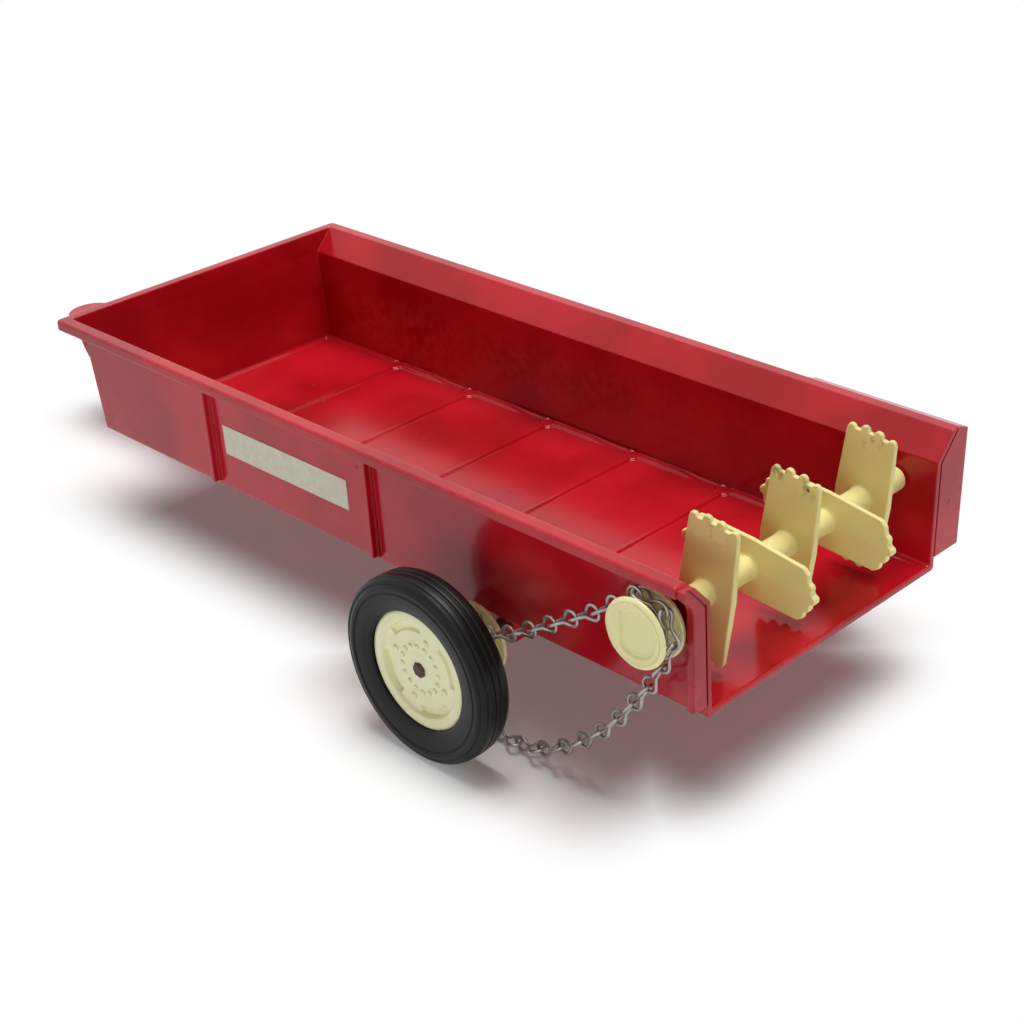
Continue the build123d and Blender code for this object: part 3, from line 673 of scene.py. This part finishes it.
def makeFloorPanel():
    stations, across = floorLines()
    bm = bmesh.new()
    rows = []
    for station in stations:
        upper = [bm.verts.new(((rear + station) * mm, y * mm, (floorLook["top"] + floorHeight(station, y)) * mm))
                 for y in across]
        lower = [bm.verts.new(((rear + station) * mm, y * mm, (floorLook["top"] - floorLook["under"]) * mm))
                 for y in (across[-1], across[0])]
        rows.append(upper + lower)
    for row, following in zip(rows, rows[1:]):
        for index in range(len(row)):
            after = (index + 1) % len(row)
            bm.faces.new((row[index], row[after], following[after], following[index]))
    bm.faces.new(rows[0])
    bm.faces.new(rows[-1])
    bmesh.ops.recalc_face_normals(bm, faces=bm.faces)
    addPiece("floorPanel", meshFrom(bm, "floorPanel"), redEnamel, "root", crease=50)


bedMesh = softenedCopy("bed", "bedCasting", casting["edge"], change=lowerFloor)
addPiece("bedCasting", bedMesh, redEnamel, "root", ["bed"], even=True)
makeFloorPanel()
barMesh = softenedCopy("drawbar", "drawbarWithSkid", casting["barEdge"])
addPiece("drawbarWithSkid", barMesh, redEnamel, "root", ["drawbar"], even=True)
print("bed and drawbar made")


# Beater: five blades and a shaft, moulded in one

beaterMiddle = (pulleyMiddle.x, pulleyMiddle.z)
beaterLook = {
    "turn": -6.4,           # degrees about +Y, as it was left standing
    "shaftRadius": 3.1,
    "journalRadius": 2.0,
    "shaftHalf": 40.9,
    "fillet": 0.5,          # between the shaft and a blade
    "middle": 0.7,
    "spacing": 28.5,
    "halfWidth": 7.5,
    "endHalfWidth": 6.9,
    "halfThickness": 1.05,
    "edge": 0.38,
    "toothRadius": 1.2,
}

# Corner and middle reach of the ends, draft in degrees, teeth as (place across, reach), depth of the valleys
uprightBlade = {"corner": 16.9, "middle": 17.5, "draft": 1.3,
                "teeth": ((-5.7, 17.9), (-1.9, 18.7), (1.9, 18.7), (5.7, 17.9))}
levelBlade = {"corner": 15.2, "middle": 18.6, "draft": 3.5,
              "teeth": ((-5.0, 16.4), (-2.5, 17.8), (0.0, 19.1), (2.5, 17.8), (5.0, 16.4))}


def endReach(blade, across):
    # How far the blade's end reaches at this place across it
    root = blade["middle"] - (blade["middle"] - blade["corner"]) * abs(across) / beaterLook["endHalfWidth"]
    radius = beaterLook["toothRadius"]
    reach, smooth = root, 0.28
    for place, tip in blade["teeth"]:
        off = abs(across - place)
        if off < radius:
            top = tip - radius + sqrt(radius ** 2 - off ** 2)
            blend = max(smooth - abs(reach - top), 0.0) / smooth
            reach = max(reach, top) + blend * blend * smooth / 4
    corner = beaterLook["endHalfWidth"] - abs(across)
    return reach - hollowRise(max(corner, 0.0), 0.9)


def bladeOutline(blade):
    # Points (along, across) once round, with two points exactly on each line through the shaft
    half, count = beaterLook["endHalfWidth"], 72
    places = [-half * cos(pi * step / count) for step in range(count + 1)]
    places[count // 2] = 0.0
    front = [(endReach(blade, place), place) for place in places]
    sideSteps = [share / 10 for share in range(9, -10, -1)]
    edge = []
    for share in sideSteps:
        along = share * endReach(blade, half)
        edge.append((along, half + (beaterLook["halfWidth"] - half) * (1 - abs(share))))
    return front + edge + [(-a, -b) for a, b in front] + [(-a, -b) for a, b in edge]


def makeBlade(bm, place, blade, upright):
    outline = bladeOutline(blade)
    count = len(outline)
    slope = tan(radians(blade["draft"]))
    inward = []
    for index in range(count):
        before, after = Vector(outline[index - 1]), Vector(outline[(index + 1) % count])
        run = (after - before).normalized()
        inward.append(Vector((-run.y, run.x)))
    layers = []
    for side in (1, -1):
        for step in (range(0, 5) if side == -1 else range(4, -1, -1)):
            turn = pi / 2 * step / 4
            layers.append((side, beaterLook["edge"] * (1 - cos(turn)), beaterLook["edge"] * (1 - sin(turn))))
    rings = []
    for side, inset, drop in layers:
        ring = []
        for (along, across), inner in zip(outline, inward):
            point = Vector((along, across)) + inner * inset
            tall = point.x if upright else point.y
            if abs(tall) < 1e-3 or (not upright and abs(across) < 1e-6):
                tall = 0.0
            y = side * (beaterLook["halfThickness"] - slope * abs(tall) - drop)
            x, z = (point.y, point.x) if upright else (point.x, point.y)
            ring.append(bm.verts.new((x * mm, (place + y) * mm, z * mm)))
        rings.append(ring)
    for ring, following in zip(rings, rings[1:]):
        for index in range(count):
            after = (index + 1) % count
            bm.faces.new((ring[index], ring[after], following[after], following[index]))
    for ring in (rings[0], rings[-1]):
        # Each face is folded along the parting line
        fold = sorted(range(count), key=lambda i: abs(ring[i].co.z))[:2]
        first, second = min(fold), max(fold)
        bm.faces.new(ring[first:second + 1])
        bm.faces.new(ring[second:] + ring[:first + 1])


def makeBeater():
    look = beaterLook
    bm = bmesh.new()
    uprights = [look["middle"] + index * look["spacing"] for index in (-1, 0, 1)]
    levels = [look["middle"] + (index + 0.5) * look["spacing"] for index in (-1, 0)]
    for place in uprights:
        makeBlade(bm, place, uprightBlade, True)
    for place in levels:
        makeBlade(bm, place, levelBlade, False)
    low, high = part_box("beater")
    profile = [(0.02, low.y / mm), (look["journalRadius"], low.y / mm), (look["journalRadius"], -look["shaftHalf"]),
               (look["shaftRadius"] - 0.3, -look["shaftHalf"]), (look["shaftRadius"], -look["shaftHalf"] + 0.3)]
    for place in sorted(uprights + levels):
        for way in (-1, 1):
            face = place + way * look["halfThickness"]
            steps = range(5) if way == -1 else range(4, -1, -1)
            for step in steps:
                turn = pi / 2 * step / 4
                profile.append((look["shaftRadius"] + look["fillet"] * (1 - cos(turn)),
                                face + way * look["fillet"] * (1 - sin(turn))))
    profile += [(look["shaftRadius"], look["shaftHalf"] - 0.3), (look["shaftRadius"] - 0.3, look["shaftHalf"]),
                (look["journalRadius"], look["shaftHalf"]), (look["journalRadius"], high.y / mm), (0.02, high.y / mm)]
    rows = []
    for radius, y in profile:
        rows.append([bm.verts.new((radius * cos(2 * pi * i / 96) * mm, y * mm, radius * sin(2 * pi * i / 96) * mm))
                     for i in range(96)])
    for row, following in zip(rows, rows[1:]):
        for index in range(96):
            bm.faces.new((row[index], row[(index + 1) % 96], following[(index + 1) % 96], following[index]))
    bm.faces.new(rows[0])
    bm.faces.new(rows[-1])
    bmesh.ops.recalc_face_normals(bm, faces=bm.faces)
    turn = Matrix.Rotation(radians(look["turn"]), 4, "Y")
    bmesh.ops.transform(bm, matrix=Matrix.Translation((beaterMiddle[0], 0, beaterMiddle[1])) @ turn, verts=bm.verts)
    addPiece("beaterMoulding", meshFrom(bm, "beaterMoulding"), beaterCream, "beater_shaft", ["beater"],
             crease=24, even=True)


makeBeater()
print("beater made")


# Pulley on the beater's end, with a D-shaped dish in its face

beaterPulley = {
    "segments": 144,
    "lipInner": 7.3,        # the lip round the face is level out to here
    "stepDown": 0.22,
    "dishRadius": 6.15,
    "dishFlat": 4.3,
    "dishDepth": 0.72,
    "flatWall": 0.55,       # the wall under the straight side leans this far in
    "groove": 5.2,
    "flange": 1.1,
    "core": 4.35,
    "pocket": 6.05,
    "slotHalf": 0.7,
}


def pulleyFaceDrop(radius, turn):
    # How far the face lies below its lip
    look = beaterPulley
    drop = look["stepDown"] * softStep((look["lipInner"] - radius) / 0.35)
    inRound = softStep((look["dishRadius"] - radius) / 0.55)
    inFlat = softStep((look["dishFlat"] - radius * cos(turn)) / look["flatWall"])
    floorStep = 0.12 * softStep((look["dishRadius"] - 1.0 - radius) / 0.3)
    return drop + (look["dishDepth"] + floorStep) * inRound * inFlat


def makeBeaterPulley():
    look = beaterPulley
    low, high = pulleyBox
    face, back = high.y / mm, low.y / mm
    outer = (high.x - low.x) / 2 / mm
    innerFace = face - look["flange"] - look["groove"]
    plane = innerFace + look["groove"] / 2
    outerFace = face - look["flange"]
    corners = [
        (2.05, back, 0), (4.2, back, 0.2), (4.2, innerFace - look["flange"], 0.15),
        (outer, innerFace - look["flange"], 0.35), (outer, innerFace, 0.35),
        (look["pocket"], innerFace + 0.15, 0.35), (look["pocket"], plane - look["slotHalf"], 0.25),
        (look["core"], plane - look["slotHalf"], 0.2), (look["core"], plane + look["slotHalf"], 0.2),
        (look["pocket"], plane + look["slotHalf"], 0.25), (look["pocket"], outerFace - 0.15, 0.35),
        (outer - 0.1, outerFace, 0.4), (outer - 0.02, face - 0.45, 0.5), (outer - 0.75, face, 0.45),
        (look["lipInner"] + 0.1, face, 0.2),
    ]
    rings = roundedSection(corners)
    dishRings = 60
    for index in range(dishRings + 1):
        rings.append((look["lipInner"] * (1 - index / dishRings) + 0.02, None))
    rings += [(0.0, None), (0.0, back + 1.0), (2.05, back + 1.0)]

    def shapeAt(radius, y, turn):
        if y is None:
            return face - pulleyFaceDrop(radius, turn)
        lump = 0.05 * sin(3 * turn + 0.6) + 0.04 * sin(7 * turn)
        return y + (lump if y > outerFace + 0.2 else 0.0) - (0.1 if y > outerFace + 0.2 else 0.0)

    mesh = turnedMesh("beaterPulleyMoulding", pulleyMiddle, 1, rings, look["segments"], shapeAt)
    addPiece("beaterPulleyMoulding", mesh, pulleyCream, "beater_shaft", ["beater_pulley"])


makeBeaterPulley()
print("beater pulley made")


# Wheels, tyres, axle ends and the drive pulley

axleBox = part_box("axle")
axleMiddle = (axleBox[0] + axleBox[1]) / 2

wheelShape = {
    "segments": 288,
    "faceRings": 84,
    "dishRadius": 12.3,
    "padDrop": 0.9,
    "pocketDrop": 1.75,
    "pocketInner": 10.2,
    "pocketTurn": 66.5,     # degrees to the middle of the first of four pockets
    "pocketHalf": 27,
    "wallRun": 0.5,         # width of the sloping wall of each pocket
    "collar": 4.9,          # soft raised ring inside the bolts
    "collarHeight": 0.16,
    "hubRadius": 5.0,
    "backWeb": 2.2,
}


def padShare(radius, turn):
    # 1 on the pad, 0 in one of the four curved pockets along its edge
    off = (turn - radians(wheelShape["pocketTurn"]) + pi / 4) % (pi / 2) - pi / 4
    inside = min(radius - wheelShape["pocketInner"], (radians(wheelShape["pocketHalf"]) - abs(off)) * radius)
    return 1 - softStep(inside / wheelShape["wallRun"] + 0.5)


def makeWheel(name, node, side):
    low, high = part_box(node)
    face = max(abs(low.y), abs(high.y)) / mm
    hubBack = min(abs(low.y), abs(high.y)) / mm
    rim = (high.x - low.x) / 2 / mm
    back = face - 7.4
    dish = wheelShape["dishRadius"]
    corners = [
        (1.62, hubBack, 0), (wheelShape["hubRadius"], hubBack, 0.4), (wheelShape["hubRadius"], back + 2.4, 0.5),
        (11.6, back + 2.4, 0.6), (12.6, back, 0.4), (rim, back, 0.3), (rim, face - 0.25, 0.5),
        (rim - 0.8, face, 0.5), (dish + 0.25, face, 0.45), (dish, face - 0.45, 0.2),
    ]
    rings = roundedSection(corners)
    for index in range(wheelShape["faceRings"] + 1):
        rings.append((1.62 + (dish - 0.02 - 1.62) * (1 - index / wheelShape["faceRings"]), None))

    def shapeAt(radius, y, turn):
        if y is not None:
            return y
        drop = wheelShape["pocketDrop"] - (wheelShape["pocketDrop"] - wheelShape["padDrop"]) * padShare(radius, turn)
        foot = min(max((dish - radius) / 0.35, 0), 1)
        crown = wheelShape["collarHeight"] * softStep((wheelShape["collar"] - radius) / 0.8)
        return face - 0.45 - (drop - 0.45) * foot + crown

    mesh = turnedMesh(name, axleMiddle, side, rings, wheelShape["segments"], shapeAt)
    addPiece(name, mesh, wheelCream, "wheelset", [node], crease=45)


tyreShape = {"segments": 176}

# Columns: radius, distance in from the outermost side, rounding
tyreSection = (
    (15.32, 9.3, 0.3), (15.32, 1.25, 0.25), (15.8, 0.85, 0.3), (17.6, 0.42, 1.5), (19.9, 0.06, 0.3), (20.15, 0.34, 0.12),
    (20.45, 0.36, 0.12), (20.65, 0.0, 0.25), (21.5, 0.02, 0.6), (22.2, 0.28, 0.3), (22.36, 0.62, 0.12),
    (22.62, 0.62, 0.12), (22.85, 0.42, 0.25), (23.45, 0.85, 0.4), (23.75, 1.35, 0.3), (23.50, 1.62, 0.12),
    (23.50, 1.85, 0.12), (23.92, 2.05, 0.25), (24.0, 3.6, 0.25), (23.55, 3.8, 0.12), (23.55, 4.05, 0.12),
    (24.0, 4.25, 0.25), (24.0, 5.4, 0.25), (23.55, 5.6, 0.12), (23.55, 5.85, 0.12), (23.95, 6.05, 0.25),
    (23.80, 7.5, 0.8), (23.0, 8.9, 1.0), (21.0, 9.55, 1.0), (16.0, 9.55, 0.4),
)


def makeTyre(name, node, side):
    low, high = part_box(node)
    outermost = max(abs(low.y), abs(high.y)) / mm
    corners = [(radius, outermost - inward, rounding) for radius, inward, rounding in tyreSection]
    mesh = turnedMesh(name, axleMiddle, side, roundedSection(corners, 3), tyreShape["segments"])
    addPiece(name, mesh, tyreBlack, "wheelset", [node], crease=55)


boltShape = {
    "inner": {"count": 16, "circle": 6.1, "first": 18, "radius": 0.74, "height": 0.5},
    "outer": {"count": 4, "circle": 8.6, "first": 18.5, "radius": 0.86, "height": 0.6},
}


def makeBumpTree():
    # A ring of moulded bolt heads round an axle that lies along Y
    tree, inputs, output = makeTree("boltRing", [
        ("Geometry", "Geometry", None), ("Count", "Int", 16), ("Circle Radius", "Float", 0.006),
        ("First Turn", "Float", 0.0), ("Bolt Radius", "Float", 0.0006), ("Bolt Height", "Float", 0.0005),
        ("Middle", "Vector", (0, 0, 0)), ("Finish", "Material", None)])
    circle = addNode(tree, "GeometryNodeMeshCircle", {"Vertices": inputs["Count"], "Radius": inputs["Circle Radius"]})
    turn = addNode(tree, "ShaderNodeCombineXYZ", {"Z": inputs["First Turn"]})
    turned = addNode(tree, "GeometryNodeTransform", {"Geometry": circle.outputs[0], "Rotation": turn.outputs[0]})
    head = addNode(tree, "GeometryNodeMeshUVSphere", {"Segments": 16, "Rings": 10, "Radius": 1.0})
    size = addNode(tree, "ShaderNodeCombineXYZ", {"X": inputs["Bolt Radius"], "Y": inputs["Bolt Radius"],
                                                  "Z": inputs["Bolt Height"]})
    placed = addNode(tree, "GeometryNodeInstanceOnPoints", {"Points": turned.outputs[0], "Instance": head.outputs[0],
                                                            "Scale": size.outputs[0]})
    upright = addNode(tree, "GeometryNodeTransform", {"Geometry": placed.outputs[0], "Rotation": (pi / 2, 0, 0),
                                                      "Translation": inputs["Middle"]})
    real = addNode(tree, "GeometryNodeRealizeInstances", {"Geometry": upright.outputs[0]})
    finished = addNode(tree, "GeometryNodeSetMaterial", {"Geometry": real.outputs[0], "Material": inputs["Finish"]})
    tree.links.new(finished.outputs[0], output.inputs[0])
    return tree


def makeBolts(side, label):
    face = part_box("wheel_left")[1].y - wheelShape["padDrop"] * mm
    for name, look in boltShape.items():
        mesh = grownMesh(f"{name}Bolts{label}", bumpTree, {
            "Count": look["count"], "Circle Radius": look["circle"] * mm, "First Turn": side * radians(look["first"]),
            "Bolt Radius": look["radius"] * mm, "Bolt Height": look["height"] * mm,
            "Middle": (axleMiddle.x, side * face, axleMiddle.z), "Finish": wheelCream})
        addPiece(f"{name}Bolts{label}", mesh, wheelCream, "wheelset", crease=60)


axleShape = {"endRadius": 1.95, "knurls": 14, "segments": 48, "headLength": 0.85}


def makeAxle():
    end = axleBox[1].y / mm
    rod = (axleBox[1].x - axleBox[0].x) / 2 / mm
    head = axleShape["endRadius"]
    half = [(rod, 0), (rod, end - axleShape["headLength"]), (head - 0.15, end - axleShape["headLength"]),
            (head, end - 0.45), (head - 0.35, end - 0.08), (head * 0.55, end), (0.02, end - 0.12)]
    rings = [(r, -y) for r, y in reversed(half[1:])] + half

    def shapeAt(radius, y, turn):
        return y

    bm = bmesh.new()
    rows = []
    for radius, y in rings:
        row = []
        for index in range(axleShape["segments"]):
            turn = 2 * pi * index / axleShape["segments"]
            ridge = 0.10 * cos(axleShape["knurls"] / 2 * turn) if abs(y) > end - 1 and radius > 1.2 else 0.0
            row.append(bm.verts.new((axleMiddle.x + (radius + ridge) * cos(turn) * mm, y * mm,
                                     axleMiddle.z + (radius + ridge) * sin(turn) * mm)))
        rows.append(row)
    for row, following in zip(rows, rows[1:]):
        for index in range(axleShape["segments"]):
            after = (index + 1) % axleShape["segments"]
            bm.faces.new((row[index], row[after], following[after], following[index]))
    bm.faces.new(rows[0])
    bm.faces.new(rows[-1])
    bmesh.ops.recalc_face_normals(bm, faces=bm.faces)
    addPiece("knurledAxle", meshFrom(bm, "knurledAxle"), darkIron, "wheelset", ["axle"], crease=40)


def makeDrivePulley():
    low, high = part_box("drive_pulley")
    outer = (high.x - low.x) / 2 / mm
    back = low.y / mm
    face = high.y / mm
    flange = pulleyBox[1].y / mm - beaterPulley["flange"] - beaterPulley["groove"]
    core = 5.0
    corners = [
        (1.62, back, 0), (5.6, back, 0.25), (5.6, flange - 1.1, 0.25), (outer, flange - 1.1, 0.35),
        (outer, flange, 0.4), (core, flange + 0.1, 0.4), (core, face, 0.3), (1.62, face, 0),
    ]
    mesh = turnedMesh("drivePulleyMoulding", axleMiddle, 1, roundedSection(corners), 128)
    addPiece("drivePulleyMoulding", mesh, pulleyCream, "wheelset", ["drive_pulley"])


bumpTree = makeBumpTree()
for label, side in (("Left", 1), ("Right", -1)):
    makeWheel("castWheel" + label, "wheel_" + label.lower(), side)
    makeTyre("ribbedTyre" + label, "tyre_" + label.lower(), side)
    makeBolts(side, label)
makeAxle()
makeDrivePulley()
print("wheels, tyres and axle made")


# Jack chain of twisted wire

chainLook = {
    "wire": 0.42,           # radius
    "wireSides": 8,
    "points": 52,           # round one link
    "halfWidth": 1.86,
    "waist": 0.44,
    "twist": 0.30,          # share of the half length over which the waist turns
}


def linkIslands(node):
    # The centre, run and half length of each link, read from the CAD chain
    bm = bmesh.new()
    bm.from_mesh(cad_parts[node].data)
    bmesh.ops.remove_doubles(bm, verts=bm.verts, dist=0.002 * mm)
    low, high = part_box(node)
    plane = (low.y + high.y) / 2
    found, unseen = [], {v.index: v for v in bm.verts}
    while unseen:
        first = unseen.pop(next(iter(unseen)))
        group, queue = [first], [first]
        while queue:
            for edge in queue.pop().link_edges:
                for other in edge.verts:
                    if other.index in unseen:
                        del unseen[other.index]
                        group.append(other)
                        queue.append(other)
        flat = [v.co for v in group if abs(v.co.y - plane) > 0.8 * mm]
        standing = [v.co for v in group if abs(v.co.y - plane) < 0.6 * mm]
        run = sum(standing, Vector()) / len(standing) - sum(flat, Vector()) / len(flat)
        run.y = 0
        run.normalize()
        along = [v.co.dot(run) for v in group]
        across = Vector((-run.z, 0, run.x))
        aside = [v.co.dot(across) for v in group]
        middle = run * (min(along) + max(along)) / 2 + across * (min(aside) + max(aside)) / 2
        middle.y = plane
        found.append((middle, run, (max(along) - min(along)) / 2))
    bm.free()
    return found


def linkCentreline(half):
    # One closed wire: a loop lying flat, a quarter twist at the waist, and a loop standing on edge
    points = []
    width, waist = chainLook["halfWidth"] * mm, chainLook["waist"] * mm
    for index in range(chainLook["points"]):
        turn = 2 * pi * index / chainLook["points"]
        x = -half * cos(turn)
        share = abs(x) / half
        if share < 0.6:
            out = waist + (width - waist) * sin(pi / 2 * share / 0.6) ** 1.3
        else:
            out = width * sqrt(max(0.0, 1 - ((share - 0.6) / 0.4) ** 2))
        out *= 1 if sin(turn) >= 0 else -1
        twist = min(max(x / (2 * chainLook["twist"] * half) + 0.5, 0), 1)
        angle = pi / 2 * twist * twist * (3 - 2 * twist)
        points.append((x, out * cos(angle), out * sin(angle)))
    mesh = bpy.data.meshes.new("linkCentreline")
    mesh.from_pydata(points, [(i, (i + 1) % len(points)) for i in range(len(points))], [])
    line = bpy.data.objects.new("linkCentreline", mesh)
    bpy.context.scene.collection.objects.link(line)
    return line


def makeChainTree():
    tree, inputs, output = makeTree("wireLinks", [
        ("Geometry", "Geometry", None), ("Centreline", "Object", None), ("Wire Radius", "Float", 0.0004),
        ("Wire Sides", "Int", 8), ("Finish", "Material", None)])
    line = addNode(tree, "GeometryNodeObjectInfo", {"Object": inputs["Centreline"]})
    curve = addNode(tree, "GeometryNodeMeshToCurve", {"Mesh": line.outputs["Geometry"]})
    round_ = addNode(tree, "GeometryNodeCurvePrimitiveCircle", {"Resolution": inputs["Wire Sides"],
                                                               "Radius": inputs["Wire Radius"]})
    wire = addNode(tree, "GeometryNodeCurveToMesh", {"Curve": curve.outputs[0], "Profile Curve": round_.outputs[0]})
    turn = addNode(tree, "GeometryNodeInputNamedAttribute", {"Name": "linkTurn"}, data_type="FLOAT_VECTOR")
    rotation = addNode(tree, "FunctionNodeEulerToRotation", {"Euler": turn.outputs["Attribute"]})
    placed = addNode(tree, "GeometryNodeInstanceOnPoints", {"Points": inputs["Geometry"],
                                                            "Instance": wire.outputs[0],
                                                            "Rotation": rotation.outputs[0]})
    real = addNode(tree, "GeometryNodeRealizeInstances", {"Geometry": placed.outputs[0]})
    smooth = addNode(tree, "GeometryNodeSetShadeSmooth", {"Geometry": real.outputs[0]})
    finished = addNode(tree, "GeometryNodeSetMaterial", {"Geometry": smooth.outputs[0], "Material": inputs["Finish"]})
    tree.links.new(finished.outputs[0], output.inputs[0])
    return tree


def makeChain():
    links = linkIslands("drive_chain")
    host = bpy.data.meshes.new("linkPlaces")
    host.from_pydata([tuple(middle) for middle, run, half in links], [], [])
    turns = host.attributes.new("linkTurn", "FLOAT_VECTOR", "POINT")
    for index, (middle, run, half) in enumerate(links):
        turns.data[index].vector = (0, -atan2(run.z, run.x), 0)
    half = sum(link[2] for link in links) / len(links) - chainLook["wire"] * mm
    line = linkCentreline(half)
    mesh = grownMesh("jackChain", makeChainTree(), {
        "Centreline": line, "Wire Radius": chainLook["wire"] * mm, "Wire Sides": chainLook["wireSides"],
        "Finish": chainSteel}, host)
    bpy.data.objects.remove(line)
    addPiece("jackChain", mesh, chainSteel, "root", ["drive_chain"], crease=80)
    print("chain links:", len(links))


makeChain()


# What the CAD shape already gives: only a finish is added

for node, material in (("label_left", blankSticker), ("label_right", blankSticker), ("drawbar_rivets", rivetSteel)):
    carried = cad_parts[node]
    carried.data.materials.clear()
    carried.data.materials.append(material)


# Colour view and the end

bpy.context.scene.view_settings.view_transform = "Standard"
